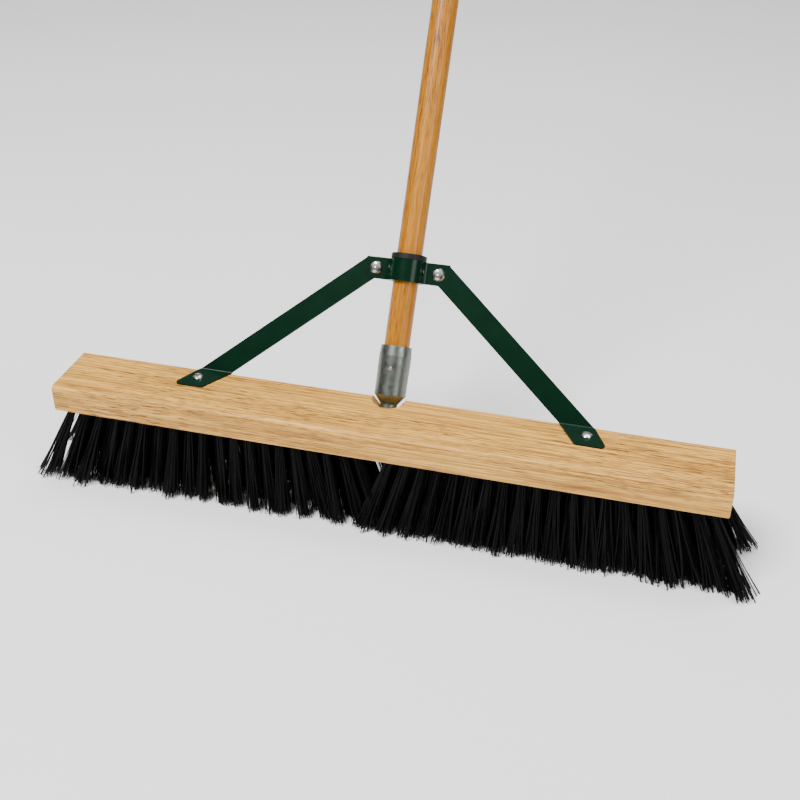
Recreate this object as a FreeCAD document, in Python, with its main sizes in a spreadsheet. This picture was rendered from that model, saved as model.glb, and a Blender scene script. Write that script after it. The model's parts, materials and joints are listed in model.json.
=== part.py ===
"""Push broom: a wooden block with bristle tufts, a wooden handle screwed in by a metal ferrule, and a
two-strip steel brace that clamps round the handle and is screwed to the block.

Frame: millimetres, +Z up, origin on the floor under the middle of the block, where the bristles touch.
X runs along the block and +Y points behind the broom, the way the handle leans.
The stick frame has its origin where the handle's axis crosses the block's top face. Its z runs up the
handle and its y points behind the handle.
"""

import FreeCAD, Part

import math
import os

import Sketcher

Vector = FreeCAD.Vector

SIZES = {
    # block
    "block_length": 610.0,
    "block_depth": 64.0,
    "block_height": 25.4,
    "front_round": 5.0,
    "edge_round": 1.2,
    # tufts, each folded over a wire anchor in a blind hole
    "bristle_trim": 76.0,
    "tuft_columns": 20,
    "tuft_rows": 5,
    "first_column": 16.0,
    "end_margin": 14.0,
    "row_margin": 10.0,
    "tuft_hole_radius": 3.9,
    "tuft_hole_depth": 12.0,
    "tuft_root_radius": 3.0,
    "tuft_tip_radius": 5.2,
    "end_lean": 27.0,
    "middle_lean": 7.0,
    "row_lean": 7.0,
    "anchor_length": 6.6,
    "anchor_thickness": 0.9,
    "anchor_height": 1.8,
    # handle and its socket
    "handle_tilt": 31.7,
    "socket_inset": 1.5,
    "waist_radius": 11.5,
    "waist_end": 145.0,
    "handle_radius": 11.9,
    "taper_end": 300.0,
    "handle_end": 1500.0,
    "dome_height": 6.0,
    "dome_round": 5.0,
    "well_radius": 15.8,
    "well_floor_radius": 8.5,
    "well_depth": 9.0,
    "well_forward": 0.5,
    # ferrule
    "rim_end": 47.8,
    "rim_radius": 13.9,
    "swell_start": 15.0,
    "swell_low": 31.0,
    "swell_high": 39.0,
    "swell_radius": 14.55,
    "barrel_start": 3.2,
    "barrel_radius": 14.25,
    "barrel_floor": 7.0,
    "cone_depth": 5.0,
    "neck_depth": 9.0,
    "neck_radius": 7.7,
    "tip_depth": 24.0,
    "tip_chamfer": 1.2,
    "thread_radius": 9.5,
    "thread_pitch": 5.08,
    "thread_turns": 2.4,
    "thread_root_width": 3.4,
    "thread_crest_width": 1.9,
    "pin_place": 27.0,
    "pin_radius": 0.9,
    "pin_head_radius": 1.7,
    "pin_head_height": 0.5,
    "pin_reach": 7.0,
    # brace: two strips of sheet steel
    "sheet": 1.6,
    "strip_width": 19.5,
    "clamp_place": 115.7,
    "ring_radius": 14.4,
    "ring_bend": 6.5,
    "bolt_place": 29.0,
    "inner_shoulder": 0.9,
    "outer_shoulder": 8.4,
    "fold_inner": 155.0,
    "fold_outer": 185.6,
    "fold_radius": 1.2,
    "foot_front": 2.0,
    "foot_inner_end": 171.0,
    "foot_outer_end": 198.6,
    "foot_corner": 3.5,
    "screw_place": 179.8,
    "screw_depth_place": 16.5,
    # bushing
    "flange_height": 5.0,
    "flange_radius": 16.1,
    "flange_round": 1.2,
    # clamp bolts, lock washers and wing nuts
    "bolt_radius": 2.4,
    "bolt_length": 16.0,
    "bolt_head_radius": 5.9,
    "bolt_head_height": 2.9,
    "bolt_head_rim": 0.5,
    "bolt_head_slope": 1.1,
    "bolt_head_drop": 0.9,
    "bolt_head_crown": 2.8,
    "crown_drop": 0.15,
    "bolt_neck": 4.8,
    "washer_radius": 4.4,
    "washer_height": 1.2,
    "nut_height": 5.2,
    "nut_radius": 4.4,
    "nut_top_radius": 3.7,
    "wing_span": 11.4,
    "wing_tip_start": 7.4,
    "wing_rise": 9.2,
    "wing_foot": 1.4,
    "wing_lift": 1.0,
    "wing_tip_height": 3.2,
    "wing_thickness": 1.8,
    "nut_wall": 0.8,
    # foot screws
    "screw_radius": 2.0,
    "screw_length": 12.7,
    "screw_head_radius": 4.75,
    "screw_head_height": 2.6,
    "screw_head_rim": 1.0,
    "screw_head_slope": 0.9,
    "screw_head_drop": 0.6,
    "screw_head_crown": 2.55,
    "recess_depth": 1.5,
    "recess_width": 1.2,
    "recess_span": 5.0,
    # clearances
    "clearance": 0.3,
    "square_clearance": 0.15,
    "running_clearance": 0.05,
}

doc = FreeCAD.newDocument("push_broom")
sheet = doc.addObject("Spreadsheet::Sheet", "Sizes")
for cell, (alias, number) in enumerate(SIZES.items(), start=1):
    sheet.set(f"A{cell}", alias)
    sheet.set(f"B{cell}", str(number))
    sheet.setAlias(f"B{cell}", alias)
doc.recompute()


def size(alias):
    """The number in the sheet's cell of that alias."""
    return float(sheet.get(alias))


def total(words):
    """The value of a sum of aliases and plain numbers, such as "nut_height + 2"."""
    value, sign = 0.0, 1.0
    for word in words.split():
        if word in ("+", "-"):
            sign = 1.0 if word == "+" else -1.0
        else:
            value += sign * (float(word) if word[0].isdigit() else size(word))
            sign = 1.0
    return value


def minus(words):
    """The same sum with its sign turned round."""
    return "0 - " + words.replace(" + ", " ? ").replace(" - ", " + ").replace(" ? ", " - ")


def formula(words):
    """The same sum, written for setExpression."""
    return " ".join(f"Sizes.{word}" if word[0].isalpha() else word for word in words.split())


# ---------------------------------------------------------------- places worked out from the sizes

TILT = math.radians(size("handle_tilt"))
BLOCK_TOP = size("bristle_trim") + size("block_height")
BLOCK_BACK = size("block_depth") / 2
AXIS_CROSSING = Vector(0, BLOCK_BACK - size("socket_inset"), BLOCK_TOP)
STICK_TURN = FreeCAD.Rotation(Vector(1, 0, 0), -size("handle_tilt"))
STICK = FreeCAD.Placement(AXIS_CROSSING, STICK_TURN)
TO_FRONT = FreeCAD.Rotation(Vector(1, 0, 0), 90)
TO_BACK = FreeCAD.Rotation(Vector(1, 0, 0), -90)
SIDES = {"left": -1, "right": 1}


def on_stick(x, y, z, turn=None):
    """A placement given in the stick frame."""
    return STICK.multiply(FreeCAD.Placement(Vector(x, y, z), turn or FreeCAD.Rotation()))


# ---------------------------------------------------------------- ways of making a piece

parts = []


def new_body(label, place=None):
    """A PartDesign body that becomes a node of that name."""
    made = doc.addObject("PartDesign::Body", label)
    made.Label = label
    made.Placement = place or FreeCAD.Placement()
    parts.append(made)
    return made


def new_feature(label, shape, place=None):
    """A feature that holds a shape which neither a body nor a primitive fits."""
    made = doc.addObject("Part::Feature", label)
    made.Label = label
    made.Shape = shape
    made.Placement = place or FreeCAD.Placement()
    parts.append(made)
    return made


def sketch_on(body, plane, name):
    """An empty sketch on one of the body's own origin planes."""
    face = next(f for f in body.Origin.OriginFeatures if f.Role == plane)
    sketch = body.newObject("Sketcher::SketchObject", name)
    sketch.AttachmentSupport = (face, [""])
    sketch.MapMode = "FlatFace"
    return sketch


def hold(sketch, kind, line, end, words):
    """Ties one coordinate of a line's end to a sum of sizes, or puts the end on the axis."""
    if words == "0":
        axis = -2 if kind == "DistanceX" else -1
        sketch.addConstraint(Sketcher.Constraint("PointOnObject", line, end, axis))
        return
    at = sketch.addConstraint(Sketcher.Constraint(kind, -1, 1, line, end, total(words)))
    sketch.setExpression(f"Constraints[{at}]", formula(words))


def outline(body, plane, name, corners):
    """A closed outline of straight lines, each corner given by two sums of sizes."""
    sketch = sketch_on(body, plane, name)
    places = [Vector(total(x), total(y), 0) for x, y in corners]
    count = len(corners)
    for k in range(count):
        sketch.addGeometry(Part.LineSegment(places[k], places[(k + 1) % count]), False)
    for k in range(count):
        sketch.addConstraint(Sketcher.Constraint("Coincident", k, 2, (k + 1) % count, 1))
    for k, (x, y) in enumerate(corners):
        hold(sketch, "DistanceX", k, 1, x)
        hold(sketch, "DistanceY", k, 1, y)
    return sketch


def rectangle(body, name, wide, deep):
    """A rectangle on the XY plane, centred on the body's origin."""
    sketch = sketch_on(body, "XY_Plane", name)
    half_wide, half_deep = size(wide) / 2, size(deep) / 2
    corners = [
        Vector(-half_wide, -half_deep, 0),
        Vector(half_wide, -half_deep, 0),
        Vector(half_wide, half_deep, 0),
        Vector(-half_wide, half_deep, 0),
    ]
    for k in range(4):
        sketch.addGeometry(Part.LineSegment(corners[k], corners[(k + 1) % 4]), False)
    for k in range(4):
        sketch.addConstraint(Sketcher.Constraint("Coincident", k, 2, (k + 1) % 4, 1))
        sketch.addConstraint(Sketcher.Constraint("Vertical" if k % 2 else "Horizontal", k))
    sketch.addConstraint(Sketcher.Constraint("Symmetric", 0, 1, 1, 2, -1, 1))
    for kind, line, alias in (("DistanceX", 0, wide), ("DistanceY", 1, deep)):
        at = sketch.addConstraint(Sketcher.Constraint(kind, line, 1, line, 2, size(alias)))
        sketch.setExpression(f"Constraints[{at}]", formula(alias))
    return sketch


def disc(body, plane, name, radius, height="0"):
    """A circle on a plane's vertical axis, its radius and height sums of sizes."""
    sketch = sketch_on(body, plane, name)
    sketch.addGeometry(Part.Circle(Vector(0, total(height), 0), Vector(0, 0, 1), total(radius)), False)
    hold(sketch, "DistanceX", 0, 3, "0")
    hold(sketch, "DistanceY", 0, 3, height)
    at = sketch.addConstraint(Sketcher.Constraint("Radius", 0, total(radius)))
    sketch.setExpression(f"Constraints[{at}]", formula(radius))
    return sketch


def extrude(body, sketch, words, kind="PartDesign::Pad", reverse=False, both=False):
    """Pads or pockets a sketch by a sum of sizes, along its normal unless reversed."""
    made = body.newObject(kind, sketch.Name + "_" + kind.split("::")[1].lower())
    made.Profile = sketch
    made.setExpression("Length", formula(words))
    made.Reversed = reverse
    made.Midplane = both
    return made


def revolve(body, sketch):
    """Turns a sketch on the XZ plane about the body's z axis."""
    made = body.newObject("PartDesign::Revolution", sketch.Name + "_turned")
    made.Profile = sketch
    made.ReferenceAxis = (sketch, ["V_Axis"])
    made.Angle = 360.0
    return made


def round_edges(body, base, names, radius):
    """Fillets some of a feature's edges."""
    made = body.newObject("PartDesign::Fillet", base.Name + "_rounded")
    made.Base = (base, names)
    made.setExpression("Radius", formula(radius))
    return made


def edges_where(feature, test):
    """Names of a feature's edges that pass a test of their centre and their box's diagonal."""
    doc.recompute()
    names = []
    for number, edge in enumerate(feature.Shape.Edges, start=1):
        box = edge.BoundBox
        if test(box.Center, Vector(box.XLength, box.YLength, box.ZLength)):
            names.append(f"Edge{number}")
    return names


# ---------------------------------------------------------------- tuft places


def find_tufts():
    """(row, root on the block's underside, direction) of every tuft, row by row from the front."""
    rows, columns = int(size("tuft_rows")), int(size("tuft_columns"))
    first = size("first_column")
    last = size("block_length") / 2 - size("end_margin")
    pitch = (last - first) / (columns - 1)
    edge = BLOCK_BACK - size("row_margin")
    found = []
    for row in range(rows):
        staggered = row % 2
        y = -edge + 2 * edge * row / (rows - 1)
        back = math.tan(math.radians(size("row_lean"))) * y / edge
        for side in SIDES.values():
            for column in range(columns - staggered):
                x = first + pitch * (column + staggered / 2)
                share = (2 * x - last - first) / (last - first)
                most = size("end_lean") if share > 0 else size("middle_lean")
                lean = math.radians(most * (0.65 * share + 0.35 * share**3))
                along = Vector(side * math.tan(lean), back, -1).normalize()
                found.append((row, Vector(side * x, y, size("bristle_trim")), along))
    return found


TUFTS = find_tufts()

# ---------------------------------------------------------------- block


def cylinder(radius, length, foot, along):
    """A round bar from a point along a direction."""
    return Part.makeCylinder(radius, length, foot, along)


def tuft_drills():
    """A cylinder for each blind tuft hole, a little longer than the hole."""
    radius, depth = size("tuft_hole_radius"), size("tuft_hole_depth")
    return [cylinder(radius, depth + radius, root - along * depth, along) for _, root, along in TUFTS]


def socket_drill():
    """The countersink round the ferrule's cone, sunk square to the block, and the slanting bore for
    its thread, which comes out underneath."""
    depth, floor_radius = size("well_depth"), size("well_floor_radius")
    flare = (size("well_radius") - floor_radius) / depth
    height = 2 * depth
    well_floor = STICK.Base - Vector(0, size("well_forward"), depth)
    well = Part.makeCone(floor_radius, floor_radius + flare * height, height, well_floor, Vector(0, 0, 1))
    reach = 3 * size("block_height")
    bore_radius = size("thread_radius") + size("running_clearance")
    bore = cylinder(bore_radius, reach, Vector(0, 0, -reach), Vector(0, 0, 1))
    bore.Placement = STICK
    return well.fuse(bore)


def pilot_drills():
    """Blind holes for the two foot screws."""
    depth = size("screw_length") - size("sheet") + size("clearance")
    drills = []
    for side in SIDES.values():
        foot = Vector(side * size("screw_place"), size("screw_depth_place"), BLOCK_TOP - depth)
        drills.append(cylinder(size("screw_radius") + size("clearance"), 2 * depth, foot, Vector(0, 0, 1)))
    return drills


def make_block():
    blank = doc.addObject("PartDesign::Body", "block_blank")
    blank.Placement.Base = Vector(0, 0, size("bristle_trim"))
    sketch = rectangle(blank, "block_outline", "block_length", "block_depth")
    board = extrude(blank, sketch, "block_height")
    top, half_length = size("block_height"), size("block_length") / 2
    front_edge = edges_where(board, lambda mid, box: mid.z > top - 0.01 and mid.y < 0 and box.x > 1)
    rolled = round_edges(blank, board, front_edge, "front_round")
    others = edges_where(
        rolled,
        lambda mid, box: abs(mid.x) > half_length - 0.01 or min(mid.z - top, mid.y - BLOCK_BACK) > -0.01,
    )
    round_edges(blank, rolled, others, "edge_round")
    doc.recompute()

    drilling = doc.addObject("Part::Feature", "block_drilling")
    drilling.Shape = Part.makeCompound([socket_drill(), *tuft_drills(), *pilot_drills()])
    block = doc.addObject("Part::Cut", "broom_block")
    block.Label = "broom_block"
    block.Base = blank
    block.Tool = drilling
    parts.append(block)


# ---------------------------------------------------------------- tufts and their anchors


def tuft_cone(root, along):
    """One tuft, from its anchor to the floor."""
    sunk = size("tuft_hole_depth") - size("anchor_height")
    drop = size("bristle_trim") / -along.z
    growth = (size("tuft_tip_radius") - size("tuft_root_radius")) / (sunk + drop)
    past = size("tuft_tip_radius")
    tip_radius = size("tuft_tip_radius") + growth * past
    cone = Part.makeCone(size("tuft_root_radius"), tip_radius, sunk + drop + past, root - along * sunk, along)
    reach = 4 * past
    end = root + along * drop
    below = Part.makeBox(2 * reach, 2 * reach, reach, Vector(end.x - reach, end.y - reach, -reach))
    return cone.cut(below)


def tuft_anchor(root, along):
    """A short flat wire across the hole's end, which the bristles are folded over."""
    long, thick = size("anchor_length"), size("anchor_thickness")
    bar = Part.makeBox(long, thick, size("anchor_height"), Vector(-long / 2, -thick / 2, 0))
    end = root - along * size("tuft_hole_depth")
    bar.Placement = FreeCAD.Placement(end, FreeCAD.Rotation(Vector(0, 0, 1), along))
    return bar


def make_tufts():
    for row in range(int(size("tuft_rows"))):
        mine = [(root, along) for where, root, along in TUFTS if where == row]
        new_feature(f"tuft_row_{row + 1}", Part.makeCompound([tuft_cone(*tuft) for tuft in mine]))
        anchors = Part.makeCompound([tuft_anchor(*tuft) for tuft in mine])
        new_feature(f"tuft_anchors_row_{row + 1}", anchors)


# ---------------------------------------------------------------- handle, ferrule and its pin


def make_handle():
    handle = new_body("handle", STICK)
    sketch = outline(
        handle,
        "XZ_Plane",
        "handle_profile",
        [
            ("0", "barrel_floor"),
            ("waist_radius", "barrel_floor"),
            ("waist_radius", "waist_end"),
            ("handle_radius", "taper_end"),
            ("handle_radius", "handle_end - dome_height"),
            ("handle_radius - dome_round", "handle_end"),
            ("0", "handle_end"),
        ],
    )
    turned = revolve(handle, sketch)
    shoulder = size("handle_end") - size("dome_height")
    rims = edges_where(turned, lambda mid, box: mid.z > shoulder - 0.1 and box.z < 0.1)
    round_edges(handle, turned, rims, "dome_round - 1.5")
    pin_hole(handle)


def pin_hole(body):
    """Opens a body for the pin, from the front to the pin's point."""
    before = solid_volume(body)
    hole = disc(body, "XZ_Plane", body.Name + "_pin_hole", "pin_radius + running_clearance", "pin_place")
    extrude(body, hole, "swell_radius + 1", "PartDesign::Pocket", reverse=True)
    check_cut(body, before)


def solid_volume(body):
    doc.recompute()
    return body.Shape.Volume


def check_cut(body, before):
    """Stops the build when a pocket has cut nothing."""
    if solid_volume(body) > before - 0.1:
        raise RuntimeError(f"{body.Label}: the last pocket cut nothing")


def make_ferrule():
    ferrule = new_body("handle_ferrule", STICK)
    sketch = outline(
        ferrule,
        "XZ_Plane",
        "ferrule_profile",
        [
            ("0", "0 - tip_depth"),
            ("neck_radius - tip_chamfer", "0 - tip_depth"),
            ("neck_radius", "tip_chamfer - tip_depth"),
            ("neck_radius", "0 - cone_depth"),
            ("barrel_radius", "barrel_start"),
            ("barrel_radius", "swell_start"),
            ("swell_radius", "swell_low"),
            ("swell_radius", "swell_high"),
            ("rim_radius", "rim_end"),
            ("waist_radius", "rim_end"),
            ("waist_radius", "barrel_floor"),
            ("0", "barrel_floor"),
        ],
    )
    revolve(ferrule, sketch)
    pin_hole(ferrule)
    bite = "neck_radius - running_clearance"
    start = "thread_root_width - tip_depth"
    ridge = outline(
        ferrule,
        "XZ_Plane",
        "thread_profile",
        [
            (bite, start + " - thread_root_width + tip_chamfer"),
            ("thread_radius", start + " - thread_crest_width + tip_chamfer"),
            ("thread_radius", start + " + tip_chamfer"),
            (bite, start + " + tip_chamfer + thread_root_width - thread_crest_width"),
        ],
    )
    thread = ferrule.newObject("PartDesign::AdditiveHelix", "thread")
    thread.Profile = ridge
    thread.ReferenceAxis = (ridge, ["V_Axis"])
    thread.Mode = "pitch-turns-angle"
    thread.setExpression("Pitch", "Sizes.thread_pitch")
    thread.setExpression("Turns", "Sizes.thread_turns")


def make_pin():
    head_top = size("pin_place") + size("pin_head_radius")
    rise = (head_top - size("swell_start")) / (size("swell_low") - size("swell_start"))
    surface = size("barrel_radius") + rise * (size("swell_radius") - size("barrel_radius"))
    place = on_stick(0, -surface, size("pin_place"), TO_FRONT)
    pin = new_body("ferrule_pin", place)
    sketch = outline(
        pin,
        "XZ_Plane",
        "pin_profile",
        [
            ("0", "0 - pin_reach"),
            ("pin_radius", "pin_radius - pin_reach"),
            ("pin_radius", "0"),
            ("pin_head_radius", "0"),
            ("pin_head_radius - pin_head_height", "pin_head_height"),
            ("0", "pin_head_height"),
        ],
    )
    revolve(pin, sketch)


# ---------------------------------------------------------------- brace


def flat_solid(points, corner_radius, corners, thickness):
    """A prism over a polygon, thickened along a vector, with some of its corners rounded."""
    face = Part.Face(Part.makePolygon([*points, points[0]]))
    prism = face.extrude(thickness)
    if not corners:
        return prism
    rounded = []
    for edge in prism.Edges:
        straight = edge.tangentAt(edge.FirstParameter).cross(thickness).Length < 1e-6
        if straight and any(edge.Vertexes[0].Point.distanceToLine(c, thickness) < 1e-4 for c in corners):
            rounded.append(edge)
    return prism.makeFillet(corner_radius, rounded)


def ring_band(front):
    """The half ring with its two ears: on the stick's front side, or mirrored behind it."""
    sheet_thick, inner = size("sheet"), size("ring_radius")
    outer = inner + sheet_thick
    bend_out = size("ring_bend") - sheet_thick / 2
    bend_in = size("ring_bend") + sheet_thick / 2
    centre_y = -(sheet_thick / 2 + size("ring_bend"))
    centre_x = math.sqrt((outer + bend_out) ** 2 - centre_y**2)
    ear_end = size("bolt_place") + size("strip_width") / 2
    away = math.atan2(-centre_y, centre_x)
    towards = math.pi - away

    def on_ring(radius, angle):
        return Vector(radius * math.cos(angle), -radius * math.sin(angle), 0)

    def on_bend(radius, angle, side):
        x = centre_x + radius * math.cos(angle)
        return Vector(side * x, centre_y + radius * math.sin(angle), 0)

    middle = (towards + math.pi / 2) / 2
    edges = []
    for ring, bend in ((outer, bend_out), (inner, bend_in)):
        edges.append(Part.Arc(on_ring(ring, away), on_ring(ring, math.pi / 2), on_ring(ring, math.pi - away)))
        for side in SIDES.values():
            touch, half, flat = (on_bend(bend, turn, side) for turn in (towards, middle, math.pi / 2))
            edges.append(Part.Arc(touch, half, flat))
            edges.append(Part.LineSegment(flat, Vector(side * ear_end, flat.y, 0)))
    for side in SIDES.values():
        end = side * ear_end
        edges.append(Part.LineSegment(Vector(end, -sheet_thick, 0), Vector(end, 0, 0)))
    wire = Part.Wire(Part.__sortEdges__([edge.toShape() for edge in edges]))
    band = Part.Face(wire).extrude(Vector(0, 0, size("strip_width")))
    band.translate(Vector(0, 0, size("clamp_place") - size("strip_width") / 2))
    return band if front else band.mirror(Vector(), Vector(0, 1, 0))


def round_ear(band, side):
    """Rounds the free ear's end about its bolt."""
    radius = size("strip_width") / 2
    place, height = size("bolt_place"), size("clamp_place")
    reach = 2 * radius
    corner = Vector(place if side > 0 else -place - reach, -reach, height - radius)
    square = Part.makeBox(reach, 2 * reach, reach, corner)
    round_end = cylinder(radius, 2 * reach, Vector(side * place, -reach, height), Vector(0, 1, 0))
    return band.cut(square.cut(round_end))


def make_brace(side_name, in_front):
    """A strip from one foot up to the clamp and round the handle to a free ear on the far side.

    It is built on the right, in the stick frame, and mirrored for the left. The strip that passes in
    front lies on the front side of the stick's middle plane, the other one behind it.
    """
    sheet_thick = size("sheet")
    rear_face = 0.0 if in_front else sheet_thick
    low = size("clamp_place") - size("strip_width") / 2
    high = low + size("strip_width")
    inner_slope = (size("fold_inner") - size("bolt_place") - size("inner_shoulder")) / low
    outer_slope = (size("fold_outer") - size("bolt_place") - size("outer_shoulder")) / high

    def inner_x(height):
        return size("fold_inner") - inner_slope * height

    def outer_x(height):
        return size("fold_outer") - outer_slope * height

    # where the rear face's plane meets the block's top
    corner = rear_face * math.tan(TILT)
    turn = math.pi / 2 - TILT
    outer_bend = size("fold_radius") + sheet_thick
    tangent = outer_bend * math.tan(turn / 2)
    fold_start = tangent + corner

    def plate(points, corners=()):
        return flat_solid(points, size("foot_corner"), corners, Vector(0, -sheet_thick, 0))

    arm = plate(
        [
            Vector(size("bolt_place") - size("strip_width") / 2, rear_face, high),
            Vector(outer_x(high), rear_face, high),
            Vector(outer_x(fold_start), rear_face, fold_start),
            Vector(inner_x(fold_start), rear_face, fold_start),
            Vector(inner_x(low), rear_face, low),
            Vector(size("bolt_place") - size("strip_width") / 2, rear_face, low),
        ]
    )

    # the foot, in the broom's own frame
    foot_back = STICK.multVec(Vector(0, rear_face, corner)).y - tangent
    bend_spread = inner_slope * tangent
    inner_back = inner_x(fold_start) + bend_spread
    outer_back = outer_x(fold_start) + bend_spread
    toes = [
        Vector(size("foot_outer_end"), size("foot_front"), BLOCK_TOP),
        Vector(size("foot_inner_end"), size("foot_front"), BLOCK_TOP),
    ]
    heel = [Vector(inner_back, foot_back, BLOCK_TOP), Vector(outer_back, foot_back, BLOCK_TOP)]
    foot = flat_solid([*heel, *toes], size("foot_corner"), toes, Vector(0, 0, sheet_thick))
    hole_at = Vector(size("screw_place"), size("screw_depth_place"), BLOCK_TOP - sheet_thick)
    hole_radius = size("screw_radius") + size("clearance")
    foot = foot.cut(cylinder(hole_radius, 3 * sheet_thick, hole_at, Vector(0, 0, 1)))
    foot.Placement = STICK.inverse().multiply(foot.Placement)

    # the fold, swept as sections between the arm and the foot
    pivot = Vector(0, rear_face - outer_bend, fold_start)
    sections = []
    steps = 6
    for step in range(steps + 1):
        angle = turn * step / steps
        inner = inner_x(fold_start) + bend_spread * step / steps
        outer = outer_x(fold_start) + bend_spread * step / steps
        out = Vector(0, math.cos(angle), -math.sin(angle))
        near_edge = pivot + out * size("fold_radius")
        far_edge = pivot + out * outer_bend
        ends = [
            Vector(inner, near_edge.y, near_edge.z),
            Vector(outer, near_edge.y, near_edge.z),
            Vector(outer, far_edge.y, far_edge.z),
            Vector(inner, far_edge.y, far_edge.z),
        ]
        sections.append(Part.makePolygon([*ends, ends[0]]))
    fold = Part.makeLoft(sections, True, False)

    strip = arm.fuse([fold, foot])
    if SIDES[side_name] < 0:
        strip = strip.mirror(Vector(), Vector(1, 0, 0))
    brace = round_ear(ring_band(in_front), -SIDES[side_name]).fuse(strip).removeSplitter()
    for side in SIDES.values():
        brace = brace.cut(bolt_hole(side, square=in_front))
    new_feature(f"brace_{side_name}", brace, STICK)


def bolt_hole(side, square):
    """A square hole for the bolt's neck, or a round one for its shank."""
    reach = 4 * size("sheet")
    place, height = side * size("bolt_place"), size("clamp_place")
    if square:
        width = size("bolt_neck") + 2 * size("square_clearance")
        return Part.makeBox(width, 2 * reach, width, Vector(place - width / 2, -reach, height - width / 2))
    radius = size("bolt_radius") + size("clearance")
    return cylinder(radius, 2 * reach, Vector(place, -reach, height), Vector(0, 1, 0))


# ---------------------------------------------------------------- bushing


def make_bushing():
    foot = size("clamp_place") - size("strip_width") / 2
    bushing = new_body("clamp_bushing", on_stick(0, 0, foot))
    bore = "waist_radius + running_clearance"
    sleeve = "ring_radius - running_clearance"
    lip = "strip_width + clearance"
    sketch = outline(
        bushing,
        "XZ_Plane",
        "bushing_profile",
        [
            (bore, "0"),
            (sleeve, "0"),
            (sleeve, lip),
            ("flange_radius", lip),
            ("flange_radius", lip + " + flange_height"),
            (bore, lip + " + flange_height"),
        ],
    )
    turned = revolve(bushing, sketch)
    flange_top = total(lip + " + flange_height")
    rim = edges_where(turned, lambda mid, box: mid.z > flange_top - 0.1 and box.x > 2 * size("ring_radius"))
    round_edges(bushing, turned, rim, "flange_round")


# ---------------------------------------------------------------- clamp bolts, washers and wing nuts


def make_bolt(side_name):
    x = SIDES[side_name] * size("bolt_place")
    bolt = new_body(f"bolt_{side_name}", on_stick(x, -size("sheet"), size("clamp_place"), TO_FRONT))
    shank = outline(
        bolt,
        "XZ_Plane",
        f"bolt_{side_name}_profile",
        [
            ("0", "0 - bolt_length"),
            ("bolt_radius - bolt_head_rim", "0 - bolt_length"),
            ("bolt_radius", "bolt_head_rim - bolt_length"),
            ("bolt_radius", "0"),
            ("bolt_head_radius", "0"),
            ("bolt_head_radius", "bolt_head_rim"),
            ("bolt_head_radius - bolt_head_slope", "bolt_head_height - bolt_head_drop"),
            ("bolt_head_crown", "bolt_head_height - crown_drop"),
            ("0", "bolt_head_height"),
        ],
    )
    revolve(bolt, shank)
    neck = rectangle(bolt, f"bolt_{side_name}_neck", "bolt_neck", "bolt_neck")
    extrude(bolt, neck, "sheet", reverse=True)


def make_washer(side_name):
    x = SIDES[side_name] * size("bolt_place")
    washer = new_body(f"lock_washer_{side_name}", on_stick(x, size("sheet"), size("clamp_place"), TO_BACK))
    bore = "bolt_radius + running_clearance"
    sketch = outline(
        washer,
        "XZ_Plane",
        f"washer_{side_name}_profile",
        [
            (bore, "0"),
            ("washer_radius", "0"),
            ("washer_radius", "washer_height"),
            (bore, "washer_height"),
        ],
    )
    revolve(washer, sketch)


def make_wing_nut(side_name):
    x = SIDES[side_name] * size("bolt_place")
    start = size("sheet") + size("washer_height")
    nut = new_body(f"wing_nut_{side_name}", on_stick(x, start, size("clamp_place"), TO_BACK))
    bore = "bolt_radius + running_clearance"
    sketch = outline(
        nut,
        "XZ_Plane",
        f"nut_{side_name}_profile",
        [
            (bore, "0"),
            ("nut_radius", "0"),
            ("nut_radius", "wing_foot"),
            ("nut_top_radius", "nut_height"),
            (bore, "nut_height"),
        ],
    )
    revolve(nut, sketch)
    blade = [
        ("bolt_radius + nut_wall", "wing_foot"),
        ("wing_tip_start", "wing_foot + wing_lift"),
        ("wing_span", "wing_rise - wing_tip_height"),
        ("wing_span", "wing_rise - wing_lift"),
        ("wing_span - wing_lift", "wing_rise"),
        ("wing_tip_start", "wing_rise"),
        ("nut_top_radius", "nut_height - nut_wall"),
        ("bolt_radius + nut_wall", "nut_height - nut_wall"),
    ]
    far_blade = [(minus(x), z) for x, z in blade]
    for wing, corners in (("near", blade), ("far", far_blade)):
        wing_sketch = outline(nut, "XZ_Plane", f"nut_{side_name}_{wing}_wing", corners)
        extrude(nut, wing_sketch, "wing_thickness", both=True)


# ---------------------------------------------------------------- foot screws


def make_screw(side_name):
    x = SIDES[side_name] * size("screw_place")
    seat = Vector(x, size("screw_depth_place"), BLOCK_TOP + size("sheet"))
    screw = new_body(f"foot_screw_{side_name}", FreeCAD.Placement(seat, FreeCAD.Rotation()))
    sketch = outline(
        screw,
        "XZ_Plane",
        f"screw_{side_name}_profile",
        [
            ("0", "0 - screw_length"),
            ("screw_radius", "screw_radius - screw_length"),
            ("screw_radius", "0"),
            ("screw_head_radius", "0"),
            ("screw_head_radius", "screw_head_rim"),
            ("screw_head_radius - screw_head_slope", "screw_head_height - screw_head_drop"),
            ("screw_head_crown", "screw_head_height - crown_drop"),
            ("0", "screw_head_height"),
        ],
    )
    revolve(screw, sketch)
    before = solid_volume(screw)
    for turned, (wide, deep) in enumerate((("recess_span", "recess_width"), ("recess_width", "recess_span"))):
        slot = rectangle(screw, f"screw_{side_name}_slot_{turned}", wide, deep)
        slot.AttachmentOffset = FreeCAD.Placement(Vector(0, 0, size("screw_head_height")), FreeCAD.Rotation())
        extrude(screw, slot, "recess_depth", "PartDesign::Pocket")
    check_cut(screw, before)


# ---------------------------------------------------------------- build, check and write

make_block()
make_tufts()
make_handle()
make_ferrule()
make_pin()
make_brace("left", in_front=False)
make_brace("right", in_front=True)
make_bushing()
for side_name in SIDES:
    make_bolt(side_name)
    make_washer(side_name)
    make_wing_nut(side_name)
    make_screw(side_name)
doc.recompute()

for made in doc.Objects:
    if "Invalid" in made.State or "Error" in made.State:
        raise RuntimeError(f"{made.Label} did not build: {made.State}")

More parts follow.
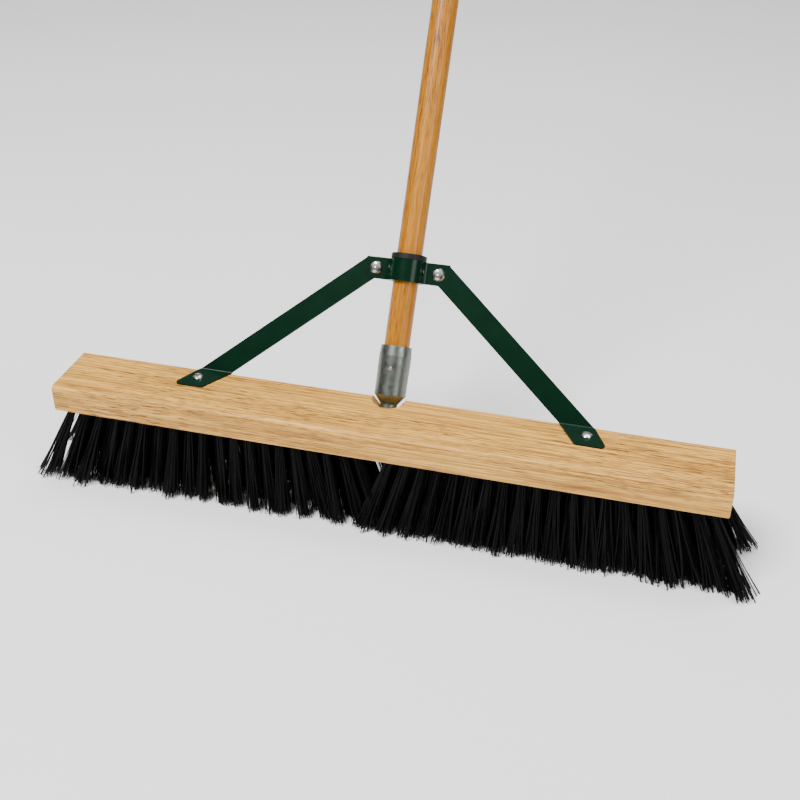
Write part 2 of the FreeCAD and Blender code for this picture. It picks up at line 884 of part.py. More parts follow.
os.makedirs("parts", exist_ok=True)
for part in parts:
    shape = part.Shape
    if shape.isNull() or not shape.isValid() or not shape.Solids:
        raise RuntimeError(f"{part.Label} has no valid shape")
    print(f"{part.Label:24} {len(shape.Solids):4} solids {shape.Volume / 1000:10.2f} cm3")

for part in parts:
    part.Shape.exportStep(os.path.join("parts", part.Label + ".step"))
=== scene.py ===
"""Push broom: its finishes, its bristles and the studio it stands in.

Metres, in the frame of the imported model: +Z up, origin on the floor under the middle of the block, X along
the block and +Y behind the broom. The stick's own directions come from the handle's grip mount.
"""

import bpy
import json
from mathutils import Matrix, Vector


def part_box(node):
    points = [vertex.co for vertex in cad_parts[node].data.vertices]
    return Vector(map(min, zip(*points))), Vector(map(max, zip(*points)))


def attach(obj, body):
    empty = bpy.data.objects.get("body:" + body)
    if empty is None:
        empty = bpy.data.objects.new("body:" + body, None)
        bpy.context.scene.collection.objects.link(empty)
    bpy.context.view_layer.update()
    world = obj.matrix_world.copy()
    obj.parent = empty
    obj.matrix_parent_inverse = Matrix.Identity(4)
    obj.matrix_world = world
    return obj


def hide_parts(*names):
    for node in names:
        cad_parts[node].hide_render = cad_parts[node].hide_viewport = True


bl_info = {
    "name": "Push Broom",
    "version": (1, 0, 0),
    "blender": (4, 5, 0),
    "location": "View3D > Sidebar > Broom",
    "description": "Bristles, finishes and studio for a wooden push broom",
    "category": "Object",
}

import json
import math

import bpy
import numpy as np
from bpy.props import FloatProperty, FloatVectorProperty, IntProperty, PointerProperty
from mathutils import Matrix, Vector

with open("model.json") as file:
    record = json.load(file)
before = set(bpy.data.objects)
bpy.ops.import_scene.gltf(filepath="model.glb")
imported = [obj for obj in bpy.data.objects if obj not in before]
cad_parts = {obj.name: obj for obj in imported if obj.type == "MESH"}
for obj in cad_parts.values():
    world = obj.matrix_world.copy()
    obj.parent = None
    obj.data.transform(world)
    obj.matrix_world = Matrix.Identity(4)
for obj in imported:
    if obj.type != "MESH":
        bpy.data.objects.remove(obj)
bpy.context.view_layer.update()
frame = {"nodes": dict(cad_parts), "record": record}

# ---------------------------------------------------------------- places read from the frame

GRIP = next(mount for mount in frame["record"]["mounts"] if mount["name"] == "handle_grip")
STICK_AXIS = Vector(GRIP["axis"]).normalized()
STICK_TILT = math.atan2(STICK_AXIS.y, STICK_AXIS.z)
BLOCK_LOW, BLOCK_HIGH = (Vector(corner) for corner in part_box("broom_block"))
STICK_POINT = Vector(GRIP["pos_m"])
TUFT_ROWS = [name for name in frame["nodes"] if name.startswith("tuft_row_")]
HALF_LENGTH = BLOCK_HIGH.x

# The pattern the tuft holes are drilled to, and how far the fibres lean once they are out of the block.
FIRST_COLUMN = 0.016
END_MARGIN = 0.014
ROW_MARGIN = 0.010
ANCHOR_GAP = 0.007
END_LEAN = math.radians(27.0)
MIDDLE_LEAN = math.radians(7.0)
ROW_LEAN = math.radians(7.0)
END_SPLAY = math.radians(26.0)
MIDDLE_SPLAY = math.radians(16.0)
STEADY_SHARE = 0.65
RISING_SHARE = 0.35

# How the strands of a tuft differ, and where a strand bends on its way from the block to the floor.
LEAN_SCATTER_X = 0.022
LEAN_SCATTER_Y = 0.020
STRAND_BOW = 0.0022
STRAND_BENDS = (0.36, 0.70)
TUFT_PATTERNS = 7
TUFT_SEED = 24

# The bolts' thread: its pitch, and how far behind the stick's middle it begins and is full.
BOLT_PITCH = 0.00106
THREAD_START = 0.0014
THREAD_FULL = 0.0018

# The camera looks down at the broom from in front, a little to the right of its middle. The floor lies just
# under the tips of the fibres.
CAMERA_LENS = 51.97
CAMERA_PLACE = Vector((0.23148, -0.81491, 0.66853))
CAMERA_RIGHT = Vector((0.96638693, 0.25703255, 0.00552832))
CAMERA_BACK = Vector((0.2127262, -0.81151029, 0.54424132))
FLOOR_HEIGHT = -0.0006


def anchor_places(row_name):
    """The middle of each wire anchor in a row: the vertices are sorted along X and split at the gaps."""
    anchors = frame["nodes"][row_name.replace("tuft_row", "tuft_anchors_row")]
    spots = sorted((anchors.matrix_world @ vertex.co for vertex in anchors.data.vertices), key=lambda p: p.x)
    groups = [[spots[0]]]
    for before, spot in zip(spots, spots[1:]):
        if spot.x - before.x > ANCHOR_GAP:
            groups.append([])
        groups[-1].append(spot)
    middles = []
    for group in groups:
        low = Vector([min(p[k] for p in group) for k in range(3)])
        high = Vector([max(p[k] for p in group) for k in range(3)])
        middles.append((low + high) / 2)
    return middles


# ---------------------------------------------------------------- what a user would change


def colour_property(name, description, default):
    return FloatVectorProperty(name=name, description=description, default=default, subtype="COLOR", size=3)


class BroomBristles(bpy.types.PropertyGroup):
    filaments: IntProperty(name="Filaments", description="Filaments in a tuft", default=74, min=8, max=120)
    thickness: FloatProperty(
        name="Filament radius",
        description="Radius of one filament",
        default=0.00042,
        unit="LENGTH",
        precision=5,
    )
    hole_radius: FloatProperty(
        name="Bundle radius",
        description="Radius of the bundle where it leaves its hole",
        default=0.0034,
        unit="LENGTH",
    )
    spread: FloatProperty(
        name="Spread",
        description="How far a tuft opens from its hole to the floor",
        default=0.0034,
        unit="LENGTH",
    )
    stray: FloatProperty(
        name="Stray",
        description="How far a filament strays from its bundle",
        default=0.0017,
        unit="LENGTH",
    )
    worn_side: FloatProperty(
        name="Right side opening",
        description="Extra spread on the right half",
        default=1.25,
    )
    fresh_side: FloatProperty(
        name="Left side opening",
        description="Spread on the left half",
        default=0.88,
    )
    end_opening: FloatProperty(
        name="End opening",
        description="Extra spread of the outermost tufts",
        default=0.55,
    )
    ragged: FloatProperty(
        name="Raggedness",
        description="Share of its length a filament may lack",
        default=0.045,
    )
    colour: colour_property("Colour", "Fibre colour", (0.0009, 0.0009, 0.001))


class BroomWood(bpy.types.PropertyGroup):
    block_light: colour_property("Block light wood", "Early wood of the block", (0.98, 0.56, 0.112))
    block_dark: colour_property("Block dark wood", "Late wood of the block", (0.29, 0.098, 0.011))
    handle_light: colour_property("Handle light wood", "Early wood of the handle", (0.53, 0.22, 0.010))
    handle_dark: colour_property("Handle dark wood", "Late wood of the handle", (0.33, 0.108, 0.005))
    pore: colour_property("Pores", "Dark open pores", (0.075, 0.024, 0.006))


class BroomMetal(bpy.types.PropertyGroup):
    paint: colour_property("Brace paint", "Gloss paint of the brace", (0.00005, 0.0115, 0.0045))
    zinc: colour_property("Ferrule zinc", "Dull galvanised steel", (0.205, 0.226, 0.204))
    nickel: colour_property("Nickel", "Bright plate of bolts and screws", (0.80, 0.79, 0.76))


# ---------------------------------------------------------------- node helpers


def new_material(name):
    """A material with an empty tree but for its Principled shader and output."""
    material = bpy.data.materials.new(name)
    material.use_nodes = True
    nodes = material.node_tree.nodes
    nodes.clear()
    shader = nodes.new("ShaderNodeBsdfPrincipled")
    output = nodes.new("ShaderNodeOutputMaterial")
    material.node_tree.links.new(shader.outputs[0], output.inputs[0])
    return material, shader


def feed(tree, value, socket):
    """Gives a socket its value: another socket, a plain number or a plain colour."""
    if isinstance(value, bpy.types.NodeSocket):
        tree.links.new(value, socket)
    elif isinstance(value, float):
        socket.default_value = value
    else:
        socket.default_value = (*value, 1.0)


def ramp(tree, factor, low, high):
    """Maps a value so that low becomes 0 and high becomes 1."""
    node = tree.nodes.new("ShaderNodeMapRange")
    node.inputs["From Min"].default_value = low
    node.inputs["From Max"].default_value = high
    tree.links.new(factor, node.inputs["Value"])
    return node.outputs["Result"]


def blend(tree, factor, first, second):
    """Mixes two colours by a mask. Each is a socket or a plain colour."""
    node = tree.nodes.new("ShaderNodeMix")
    node.data_type = "RGBA"
    feed(tree, factor, node.inputs[0])
    feed(tree, first, node.inputs[6])
    feed(tree, second, node.inputs[7])
    return node.outputs[2]


def maths(tree, operation, *values):
    """The result of a Math node on one or two values, each a socket or a plain number."""
    node = tree.nodes.new("ShaderNodeMath")
    node.operation = operation
    for value, socket in zip(values, node.inputs):
        feed(tree, value, socket)
    return node.outputs[0]


def scaled(tree, vector, scale):
    """The vector stretched by a scale for each axis."""
    node = tree.nodes.new("ShaderNodeVectorMath")
    node.operation = "MULTIPLY"
    node.inputs[1].default_value = scale
    tree.links.new(vector, node.inputs[0])
    return node.outputs[0]


def noise(tree, vector, scale=1.0, detail=3.0, roughness=0.5, distortion=0.0):
    node = tree.nodes.new("ShaderNodeTexNoise")
    node.inputs["Scale"].default_value = scale
    node.inputs["Detail"].default_value = detail
    node.inputs["Roughness"].default_value = roughness
    node.inputs["Distortion"].default_value = distortion
    tree.links.new(vector, node.inputs["Vector"])
    return node.outputs["Fac"]


def bump(tree, height, strength, distance, normal=None):
    node = tree.nodes.new("ShaderNodeBump")
    node.inputs["Strength"].default_value = strength
    node.inputs["Distance"].default_value = distance
    tree.links.new(height, node.inputs["Height"])
    if normal is not None:
        tree.links.new(normal, node.inputs["Normal"])
    return node.outputs["Normal"]


def vary_roughness(tree, shader, mask, low, high):
    """Lets a mask move the roughness between two values."""
    node = tree.nodes.new("ShaderNodeMapRange")
    node.inputs["To Min"].default_value = low
    node.inputs["To Max"].default_value = high
    tree.links.new(mask, node.inputs["Value"])
    tree.links.new(node.outputs["Result"], shader.inputs["Roughness"])


def along_stick(tree):
    """Object coordinates turned so that Z runs up the handle and Y points behind it."""
    place = tree.nodes.new("ShaderNodeTexCoord")
    turn = tree.nodes.new("ShaderNodeMapping")
    turn.vector_type = "POINT"
    turn.inputs["Rotation"].default_value = (STICK_TILT, 0.0, 0.0)
    tree.links.new(place.outputs["Object"], turn.inputs["Vector"])
    return turn.outputs["Vector"]


def new_group(name, outputs):
    """A node group with a Vector input and float outputs, but for a vector output called Normal."""
    group = bpy.data.node_groups.new(name, "ShaderNodeTree")
    group.interface.new_socket("Vector", in_out="INPUT", socket_type="NodeSocketVector")
    for output in outputs:
        kind = "NodeSocketVector" if output == "Normal" else "NodeSocketFloat"
        group.interface.new_socket(output, in_out="OUTPUT", socket_type=kind)
    inlet = group.nodes.new("NodeGroupInput")
    outlet = group.nodes.new("NodeGroupOutput")
    return group, inlet.outputs["Vector"], outlet


def use_group(tree, group, vector):
    node = tree.nodes.new("ShaderNodeGroup")
    node.node_tree = group
    tree.links.new(vector, node.inputs["Vector"])
    return node.outputs


def wood_figure():
    """Grain that runs along X: growth rings, fine streaks, open pores and the relief they leave."""
    if "wood figure" in bpy.data.node_groups:
        return bpy.data.node_groups["wood figure"]
    group, vector, outlet = new_group("wood figure", ["Rings", "Streaks", "Pores", "Tone", "Normal"])
    wander = noise(group, scaled(group, vector, (3.0, 22.0, 22.0)), detail=2.0)
    wide = noise(group, scaled(group, vector, (2.2, 60.0, 60.0)), detail=3.0, distortion=0.6)
    rings = group.nodes.new("ShaderNodeTexWave")
    rings.wave_type = "BANDS"
    rings.bands_direction = "DIAGONAL"
    rings.inputs["Scale"].default_value = 34.0
    rings.inputs["Distortion"].default_value = 5.0
    rings.inputs["Detail"].default_value = 2.0
    rings.inputs["Detail Scale"].default_value = 0.6
    group.links.new(scaled(group, vector, (0.06, 1.0, 0.55)), rings.inputs["Vector"])
    streaks = noise(group, scaled(group, vector, (9.0, 620.0, 620.0)), detail=5.0, roughness=0.6)
    pores = noise(group, scaled(group, vector, (75.0, 1700.0, 1700.0)), detail=2.0)
    open_pores = ramp(group, pores, 0.52, 0.64)
    patches = ramp(group, wander, 0.32, 0.60)
    gated = maths(group, "MULTIPLY", open_pores, patches)
    relief = maths(group, "SUBTRACT", streaks, gated)
    tone = ramp(group, wide, 0.3, 0.7)
    group.links.new(maths(group, "MULTIPLY", rings.outputs["Fac"], tone), outlet.inputs["Rings"])
    group.links.new(ramp(group, streaks, 0.36, 0.66), outlet.inputs["Streaks"])
    group.links.new(gated, outlet.inputs["Pores"])
    group.links.new(tone, outlet.inputs["Tone"])
    group.links.new(bump(group, relief, strength=0.22, distance=0.0004), outlet.inputs["Normal"])
    return group


def metal_skin():
    """Cloudy tone, fine rub marks and relief for plated and galvanised metal."""
    if "metal skin" in bpy.data.node_groups:
        return bpy.data.node_groups["metal skin"]
    group, vector, outlet = new_group("metal skin", ["Cloud", "Rub", "Normal"])
    cloud = noise(group, vector, scale=260.0, detail=5.0, roughness=0.62)
    rub = noise(group, scaled(group, vector, (1400.0, 1400.0, 60.0)), detail=3.0)
    group.links.new(ramp(group, cloud, 0.34, 0.68), outlet.inputs["Cloud"])
    group.links.new(ramp(group, rub, 0.35, 0.7), outlet.inputs["Rub"])
    group.links.new(bump(group, rub, strength=0.10, distance=0.0002), outlet.inputs["Normal"])
    return group


# ---------------------------------------------------------------- materials


def wood_material(name, light, dark, pore, vector_maker, gloss, ring_share):
    """Wood under a clear coat. vector_maker gives coordinates whose X runs along the grain."""
    material, shader = new_material(name)
    tree = material.node_tree
    figure = use_group(tree, wood_figure(), vector_maker(tree))
    ringed = ramp(tree, figure["Rings"], 0.0, ring_share)
    base = blend(tree, figure["Streaks"], dark, light)
    warm = tuple(0.25 * a + 0.75 * b for a, b in zip(dark, light))
    tinted = blend(tree, figure["Tone"], base, blend(tree, 0.5, base, warm))
    banded = blend(tree, ringed, tinted, blend(tree, 0.42, tinted, dark))
    final = blend(tree, figure["Pores"], banded, pore)
    tree.links.new(final, shader.inputs["Base Color"])
    vary_roughness(tree, shader, figure["Streaks"], gloss - 0.06, gloss + 0.10)
    tree.links.new(figure["Normal"], shader.inputs["Normal"])
    shader.inputs["Specular IOR Level"].default_value = 0.24
    shader.inputs["Coat Weight"].default_value = 0.05
    shader.inputs["Coat Roughness"].default_value = gloss - 0.12
    return material


def board_vector(tree):
    return tree.nodes.new("ShaderNodeTexCoord").outputs["Object"]


def stick_vector(tree):
    """The stick's coordinates with its length laid along X."""
    upright = along_stick(tree)
    lay = tree.nodes.new("ShaderNodeMapping")
    lay.vector_type = "POINT"
    lay.inputs["Rotation"].default_value = (0.0, math.pi / 2, 0.0)
    tree.links.new(upright, lay.inputs["Vector"])
    return lay.outputs["Vector"]


def paint_material(colour):
    """Gloss enamel: a thick film with slight orange peel, a little thin and dusty in places."""
    material, shader = new_material("dark green enamel")
    tree = material.node_tree
    place = tree.nodes.new("ShaderNodeTexCoord").outputs["Object"]
    cloud = noise(tree, place, scale=70.0, detail=4.0)
    peel = noise(tree, place, scale=900.0, detail=2.0)
    dust = ramp(tree, noise(tree, place, scale=2600.0, detail=1.0), 0.70, 0.78)
    paler = tuple(1.5 * channel + 0.0004 for channel in colour)
    film = blend(tree, cloud, colour, paler)
    tree.links.new(blend(tree, dust, film, (0.004, 0.024, 0.013)), shader.inputs["Base Color"])
    vary_roughness(tree, shader, cloud, 0.18, 0.27)
    tree.links.new(bump(tree, peel, strength=0.08, distance=0.0003), shader.inputs["Normal"])
    shader.inputs["Specular IOR Level"].default_value = 0.16
    shader.inputs["Coat Weight"].default_value = 0.04
    shader.inputs["Coat Roughness"].default_value = 0.15
    return material


def darker(colour, share):
    return tuple(share * channel for channel in colour)


def metal_material(name, colour, dull, stain, rough_low, rough_high):
    """Bare or plated metal with a cloudy skin, drawn along the stick."""
    material, shader = new_material(name)
    tree = material.node_tree
    skin = use_group(tree, metal_skin(), along_stick(tree))
    shade = blend(tree, skin["Cloud"], colour, dull)
    tree.links.new(blend(tree, skin["Rub"], shade, stain), shader.inputs["Base Color"])
    vary_roughness(tree, shader, skin["Cloud"], rough_low, rough_high)
    tree.links.new(skin["Normal"], shader.inputs["Normal"])
    shader.inputs["Metallic"].default_value = 1.0
    return material


def threaded_material(name, colour):
    """Bright plate whose shank, behind the brace, is ridged by its thread."""
    dull, rubbed = darker(colour, 0.86), darker(colour, 0.94)
    material = metal_material(name, colour, dull, rubbed, rough_low=0.10, rough_high=0.20)
    tree = material.node_tree
    shader = next(node for node in tree.nodes if node.type == "BSDF_PRINCIPLED")
    parts = tree.nodes.new("ShaderNodeSeparateXYZ")
    tree.links.new(along_stick(tree), parts.inputs[0])
    ridges = maths(tree, "SINE", maths(tree, "MULTIPLY", parts.outputs["Y"], 2 * math.pi / BOLT_PITCH))
    plane = (Matrix.Rotation(STICK_TILT, 3, "X") @ STICK_POINT).y
    behind = ramp(tree, parts.outputs["Y"], plane + THREAD_START, plane + THREAD_FULL)
    height = maths(tree, "MULTIPLY", ridges, behind)
    skin_normal = shader.inputs["Normal"].links[0].from_socket
    relief = bump(tree, height, strength=0.9, distance=0.0004, normal=skin_normal)
    tree.links.new(relief, shader.inputs["Normal"])
    return material


def rubber_material():
    material, shader = new_material("black rubber")
    tree = material.node_tree
    place = tree.nodes.new("ShaderNodeTexCoord").outputs["Object"]
    grain = noise(tree, place, scale=1500.0, detail=3.0)
    bloom = ramp(tree, noise(tree, place, scale=160.0, detail=4.0), 0.45, 0.8)
    black, greyed = (0.002, 0.002, 0.0022), (0.006, 0.006, 0.006)
    tree.links.new(blend(tree, bloom, black, greyed), shader.inputs["Base Color"])
    tree.links.new(bump(tree, grain, strength=0.25, distance=0.0003), shader.inputs["Normal"])
    shader.inputs["Roughness"].default_value = 0.55
    shader.inputs["Specular IOR Level"].default_value = 0.3
    return material


def bristle_material(colour):
    """Stiff extruded fibre: satin black, each strand a little different, greyer at the cut ends."""
    material, shader = new_material("black fibre")
    tree = material.node_tree
    place = tree.nodes.new("ShaderNodeTexCoord").outputs["Object"]
    strand = noise(tree, scaled(tree, place, (900.0, 900.0, 8.0)), detail=1.0)
    parts = tree.nodes.new("ShaderNodeSeparateXYZ")
    tree.links.new(place, parts.inputs[0])
    paler = tuple(2.0 * channel + 0.0015 for channel in colour)
    body = blend(tree, ramp(tree, strand, 0.40, 0.72), colour, paler)
    cut_end = ramp(tree, parts.outputs["Z"], 0.0045, 0.0)
    tree.links.new(blend(tree, cut_end, body, (0.006, 0.006, 0.0062)), shader.inputs["Base Color"])
    vary_roughness(tree, shader, strand, 0.34, 0.55)
    shader.inputs["Specular IOR Level"].default_value = 0.10
    return material


def dress(material, *names):
    """Gives a CAD piece its finish."""
    for name in names:
        piece = frame["nodes"][name]
        if not piece.material_slots:
            piece.data.materials.append(material)
        for place in piece.material_slots:
            place.material = material


# ---------------------------------------------------------------- bristles


def tuft_share(x):
    """-1 at the tuft nearest the middle, 1 at the outermost one."""
    last = HALF_LENGTH - END_MARGIN
    return (2 * abs(x) - last - FIRST_COLUMN) / (last - FIRST_COLUMN)


def slope(x, y, end_lean, middle_lean):
    """Sideways and backward slope at x, y, which grows towards the ends of the block."""
    share = tuft_share(x)
    most = end_lean if share > 0 else middle_lean
    lean = most * (STEADY_SHARE * share + RISING_SHARE * share**3)
    return math.copysign(1.0, x) * math.tan(lean), math.tan(ROW_LEAN) * y / (BLOCK_HIGH.y - ROW_MARGIN)


def hole_slope(x, y):
    """Slope of the tuft hole at x, y, as it is drilled."""
    return slope(x, y, END_LEAN, MIDDLE_LEAN)


def fibre_slope(x, y):
    """Slope that the fibres settle to below the block: splayed at the ends, closing up in the middle."""
    return slope(x, y, END_SPLAY, MIDDLE_SPLAY)


def select_only(*objects):
    bpy.ops.object.select_all(action="DESELECT")
    for thing in objects:
        thing.select_set(True)
    bpy.context.view_layer.objects.active = objects[0]


def model_filament(radius, depths):
    """One three-sided strand, extruded downwards from ring to ring, with a slight natural bow."""
    bpy.ops.object.select_all(action="DESELECT")
    bpy.ops.mesh.primitive_circle_add(vertices=3, radius=radius, fill_type="NGON", location=(0, 0, 0))
    strand = bpy.context.object
    strand.name = "filament"
    bpy.ops.object.mode_set(mode="EDIT")
    bpy.ops.mesh.select_all(action="SELECT")
    for above, below in zip(depths, depths[1:]):
        bow = STRAND_BOW * (max(below - depths[1], 0) ** 2 - max(above - depths[1], 0) ** 2)
        bow = bow / (depths[-1] - depths[1]) ** 2
        bpy.ops.mesh.extrude_region_move(TRANSFORM_OT_translate={"value": (bow, 0, above - below)})
    bpy.ops.mesh.select_all(action="SELECT")
    bpy.ops.mesh.normals_make_consistent(inside=False)
    bpy.ops.object.mode_set(mode="OBJECT")
    return strand


def spots_of(mesh):
    spots = np.empty(len(mesh.vertices) * 3)
    mesh.vertices.foreach_get("co", spots)
    return spots.reshape(-1, 3)


def put_spots(mesh, spots):
    mesh.vertices.foreach_set("co", spots.ravel())
    mesh.update()


def turned(spots, turn):
    """x and y of the spots after a turn about the upright axis."""
    x = spots[:, 0] * math.cos(turn) - spots[:, 1] * math.sin(turn)
    y = spots[:, 0] * math.sin(turn) + spots[:, 1] * math.cos(turn)
    return x, y


def copy_piece(original, name):
    copied = original.copy()
    copied.data = original.data.copy()
    copied.name = name
    bpy.context.collection.objects.link(copied)
    return copied


def model_tuft(strand, settings, mouth, length, chance, name):
    """A bundle of strands that leaves its hole tight and opens towards the floor."""
    copies = []
    golden = math.pi * (3 - math.sqrt(5))
    for k in range(settings.filaments):
        copied = copy_piece(strand, f"{name}_{k}")
        spots = spots_of(copied.data)
        x, y = turned(spots, chance.uniform(0, 2 * math.pi))
        shorter = 1 - settings.ragged * chance.random() ** 2
        depth = -spots[:, 2] * shorter
        out = math.sqrt((k + 0.5) / settings.filaments)
        way = golden * k
        below = np.clip(depth - mouth, 0, None) / (length - mouth)
        reach = settings.hole_radius * out + settings.spread * out * below
        stray = chance.normal(0, settings.stray / 2, 2)
        x = x + reach * math.cos(way) + stray[0] * below
        y = y + reach * math.sin(way) + stray[1] * below
        put_spots(copied.data, np.stack([x, y, -depth], axis=1))
        copies.append(copied)
    select_only(*copies)
    bpy.ops.object.join()
    tuft = bpy.context.object
    tuft.name = name
    return tuft


def place_tuft(tuft, anchor, mouth_z, settings, chance, name):
    """A copy of a tuft set on its anchor, following its hole and then the lean of the fibres."""
    placed = copy_piece(tuft, name)
    spots = spots_of(placed.data)
    spots[:, 2] *= anchor.z / -spots[:, 2].min()
    x, y = turned(spots, chance.uniform(0, 2 * math.pi))
    opening = settings.worn_side if anchor.x > 0 else settings.fresh_side
    opening += settings.end_opening * max(tuft_share(anchor.x), 0.0)
    in_hole = np.clip(-spots[:, 2], 0, anchor.z - mouth_z)
    below = np.clip(-spots[:, 2] - (anchor.z - mouth_z), 0, None)
    growth = 1 + (opening - 1) * below / mouth_z
    hole_x, hole_y = hole_slope(anchor.x, anchor.y)
    lean_x, lean_y = fibre_slope(anchor.x, anchor.y)
    lean_x += chance.normal(0, LEAN_SCATTER_X)
    lean_y += chance.normal(0, LEAN_SCATTER_Y)
    spots[:, 0] = anchor.x + x * growth + hole_x * in_hole + lean_x * below
    spots[:, 1] = anchor.y + y * growth + hole_y * in_hole + lean_y * below
    spots[:, 2] += anchor.z
    put_spots(placed.data, spots)
    return placed


class BROOM_OT_bristles(bpy.types.Operator):
    """Model the five rows of bristle tufts"""

    bl_idname = "broom.bristles"
    bl_label = "Bristle Rows"

    def execute(self, context):
        settings = context.scene.broom_bristles
        finish = bristle_material(tuple(settings.colour))
        mouth_z = BLOCK_LOW.z
        length = anchor_places(TUFT_ROWS[0])[0].z
        mouth = length - mouth_z
        depths = [0.0, mouth, *(mouth + mouth_z * share for share in STRAND_BENDS), length]
        chance = np.random.default_rng(TUFT_SEED)
        strand = model_filament(settings.thickness, depths)
        patterns = [
            model_tuft(strand, settings, mouth, length, chance, f"tuft_pattern_{k}")
            for k in range(TUFT_PATTERNS)
        ]
        for row, row_name in enumerate(TUFT_ROWS):
            tufts = []
            for number, anchor in enumerate(anchor_places(row_name)):
                pattern = patterns[int(chance.integers(len(patterns)))]
                name = f"bristle_{row}_{number}"
                tufts.append(place_tuft(pattern, anchor, mouth_z, settings, chance, name))
            select_only(*tufts)
            bpy.ops.object.join()
            piece = context.object
            piece.name = f"bristles_row_{row + 1}"
            piece.data.name = piece.name
            piece.data.materials.clear()
            piece.data.materials.append(finish)
            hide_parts(row_name)
            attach(piece, "head")
        for spare in (strand, *patterns):
            bpy.data.objects.remove(spare, do_unlink=True)
        return {"FINISHED"}


# ---------------------------------------------------------------- finishes of the CAD pieces


class BROOM_OT_block(bpy.types.Operator):
    """Finish the wooden block"""

    bl_idname = "broom.block"
    bl_label = "Block"

    def execute(self, context):
        wood = context.scene.broom_wood
        light, dark, pore = tuple(wood.block_light), tuple(wood.block_dark), tuple(wood.pore)
        finish = wood_material("block wood", light, dark, pore, board_vector, gloss=0.42, ring_share=1.0)
        dress(finish, "broom_block")
        return {"FINISHED"}


class BROOM_OT_handle(bpy.types.Operator):
    """Finish the wooden handle"""

    bl_idname = "broom.handle"
    bl_label = "Handle"

    def execute(self, context):
        wood = context.scene.broom_wood
        light, dark, pore = tuple(wood.handle_light), tuple(wood.handle_dark), tuple(wood.pore)
        finish = wood_material("handle wood", light, dark, pore, stick_vector, gloss=0.30, ring_share=0.8)
        dress(finish, "handle")
        return {"FINISHED"}


class BROOM_OT_ferrule(bpy.types.Operator):
    """Finish the ferrule and its pin"""

    bl_idname = "broom.ferrule"
    bl_label = "Ferrule"

    def execute(self, context):
        metal = context.scene.broom_metal
        zinc = tuple(metal.zinc)
        dull, rubbed = darker(zinc, 0.72), darker(zinc, 0.9)
        skin = metal_material("ferrule zinc", zinc, dull, rubbed, rough_low=0.30, rough_high=0.46)
        dress(skin, "handle_ferrule")
        bright, dull, rubbed = (0.7, 0.7, 0.69), (0.6, 0.6, 0.59), (0.66, 0.66, 0.65)
        steel = metal_material("pin steel", bright, dull, rubbed, rough_low=0.2, rough_high=0.3)
        dress(steel, "ferrule_pin")
        return {"FINISHED"}


class BROOM_OT_brace(bpy.types.Operator):
    """Finish the two brace strips"""

    bl_idname = "broom.brace"
    bl_label = "Brace"

    def execute(self, context):
        dress(paint_material(tuple(context.scene.broom_metal.paint)), "brace_left", "brace_right")
        return {"FINISHED"}


class BROOM_OT_bushing(bpy.types.Operator):
    """Finish the rubber bushing"""

    bl_idname = "broom.bushing"
    bl_label = "Bushing"

    def execute(self, context):
        dress(rubber_material(), "clamp_bushing")
        return {"FINISHED"}


class BROOM_OT_hardware(bpy.types.Operator):
    """Finish the bolts, washers, wing nuts, screws and tuft anchors"""

    bl_idname = "broom.hardware"
    bl_label = "Hardware"

    def execute(self, context):
        nickel = tuple(context.scene.broom_metal.nickel)
        dress(threaded_material("bolt nickel", nickel), "bolt_left", "bolt_right")
        dull, rubbed = darker(nickel, 0.82), darker(nickel, 0.92)
        screw = metal_material("screw nickel", nickel, dull, rubbed, rough_low=0.16, rough_high=0.28)
        dress(screw, "foot_screw_left", "foot_screw_right")
        bright, dull, rubbed = (0.60, 0.60, 0.57), (0.46, 0.46, 0.43), (0.54, 0.54, 0.51)
        plate = metal_material("plated steel", bright, dull, rubbed, rough_low=0.26, rough_high=0.42)
        dress(plate, "lock_washer_left", "lock_washer_right", "wing_nut_left", "wing_nut_right")
        dress(plate, *(name for name in frame["nodes"] if name.startswith("tuft_anchors")))
        return {"FINISHED"}


# ---------------------------------------------------------------- studio


def soft_light(name, place, target, size, power):
    bpy.ops.object.light_add(type="AREA", location=place)
    lamp = bpy.context.object
    lamp.name = name
    lamp.data.shape = "DISK"
    lamp.data.size = size
    lamp.data.energy = power
    lamp.rotation_euler = (Vector(target) - Vector(place)).to_track_quat("-Z", "Y").to_euler()


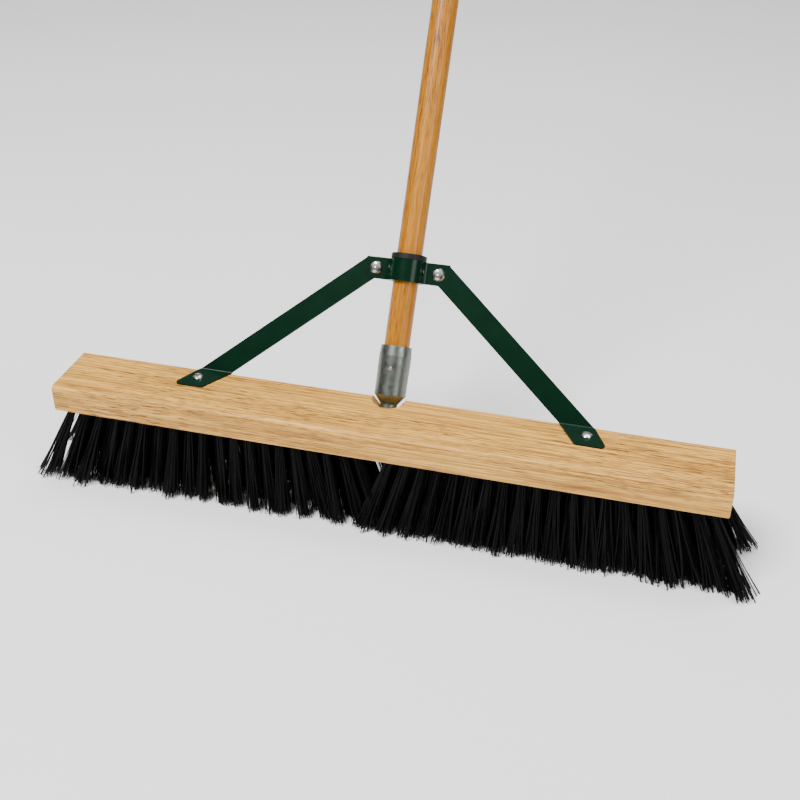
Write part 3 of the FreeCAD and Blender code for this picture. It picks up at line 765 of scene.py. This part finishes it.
class BROOM_OT_studio(bpy.types.Operator):
    """Set up the floor, the soft lights and the camera"""

    bl_idname = "broom.studio"
    bl_label = "Studio"

    def execute(self, context):
        bpy.ops.object.select_all(action="DESELECT")
        bpy.ops.mesh.primitive_plane_add(size=14.0, location=(0, 0, FLOOR_HEIGHT))
        floor = context.object
        floor.name = "studio_floor"
        pale, shader = new_material("studio floor")
        shader.inputs["Base Color"].default_value = (0.95, 0.95, 0.95, 1.0)
        shader.inputs["Roughness"].default_value = 0.9
        shader.inputs["Specular IOR Level"].default_value = 0.1
        floor.data.materials.append(pale)

        world = bpy.data.worlds.new("studio air")
        world.use_nodes = True
        sky = world.node_tree
        air = next(node for node in sky.nodes if node.type == "BACKGROUND")
        parts = sky.nodes.new("ShaderNodeSeparateXYZ")
        sky.links.new(sky.nodes.new("ShaderNodeTexCoord").outputs["Generated"], parts.inputs[0])
        height = ramp(sky, parts.outputs["Z"], 0.35, 0.95)
        sky.links.new(blend(sky, height, (0.10, 0.10, 0.10), (1.0, 1.0, 1.0)), air.inputs["Color"])
        air.inputs["Strength"].default_value = 0.8
        context.scene.world = world

        middle = (0.0, 0.0, 0.15)
        soft_light("key_light", (-0.8, -1.1, 2.5), middle, size=1.2, power=110.0)
        soft_light("fill_light", (1.9, -0.9, 1.4), middle, size=1.2, power=24.0)
        soft_light("back_light", (0.3, 1.1, 2.9), middle, size=1.4, power=36.0)

        lens = bpy.data.cameras.new("camera")
        lens.lens = CAMERA_LENS
        lens.sensor_width = 36.0
        lens.clip_end = 50.0
        camera = bpy.data.objects.new("camera", lens)
        context.collection.objects.link(camera)
        up = CAMERA_BACK.cross(CAMERA_RIGHT)
        turn = Matrix((CAMERA_RIGHT, up, CAMERA_BACK)).transposed().to_4x4()
        camera.matrix_world = Matrix.Translation(CAMERA_PLACE) @ turn
        context.scene.camera = camera
        return {"FINISHED"}


# ---------------------------------------------------------------- panel and registration

PIECES = (
    BROOM_OT_block,
    BROOM_OT_bristles,
    BROOM_OT_handle,
    BROOM_OT_ferrule,
    BROOM_OT_brace,
    BROOM_OT_bushing,
    BROOM_OT_hardware,
    BROOM_OT_studio,
)


class BROOM_PT_panel(bpy.types.Panel):
    """The broom's pieces and their settings"""

    bl_idname = "BROOM_PT_panel"
    bl_label = "Push Broom"
    bl_space_type = "VIEW_3D"
    bl_region_type = "UI"
    bl_category = "Broom"

    def draw(self, context):
        for settings in (context.scene.broom_bristles, context.scene.broom_wood, context.scene.broom_metal):
            for name in settings.__annotations__:
                self.layout.prop(settings, name)
        for piece in PIECES:
            self.layout.operator(piece.bl_idname)


CLASSES = (BroomBristles, BroomWood, BroomMetal, *PIECES, BROOM_PT_panel)


def register():
    for kind in CLASSES:
        bpy.utils.register_class(kind)
    bpy.types.Scene.broom_bristles = PointerProperty(type=BroomBristles)
    bpy.types.Scene.broom_wood = PointerProperty(type=BroomWood)
    bpy.types.Scene.broom_metal = PointerProperty(type=BroomMetal)


def unregister():
    del bpy.types.Scene.broom_metal
    del bpy.types.Scene.broom_wood
    del bpy.types.Scene.broom_bristles
    for kind in reversed(CLASSES):
        bpy.utils.unregister_class(kind)


def main():
    register()
    bpy.ops.broom.block()
    bpy.ops.broom.bristles()
    bpy.ops.broom.handle()
    bpy.ops.broom.ferrule()
    bpy.ops.broom.brace()
    bpy.ops.broom.bushing()
    bpy.ops.broom.hardware()
    bpy.ops.broom.studio()


if __name__ == "__main__":
    main()
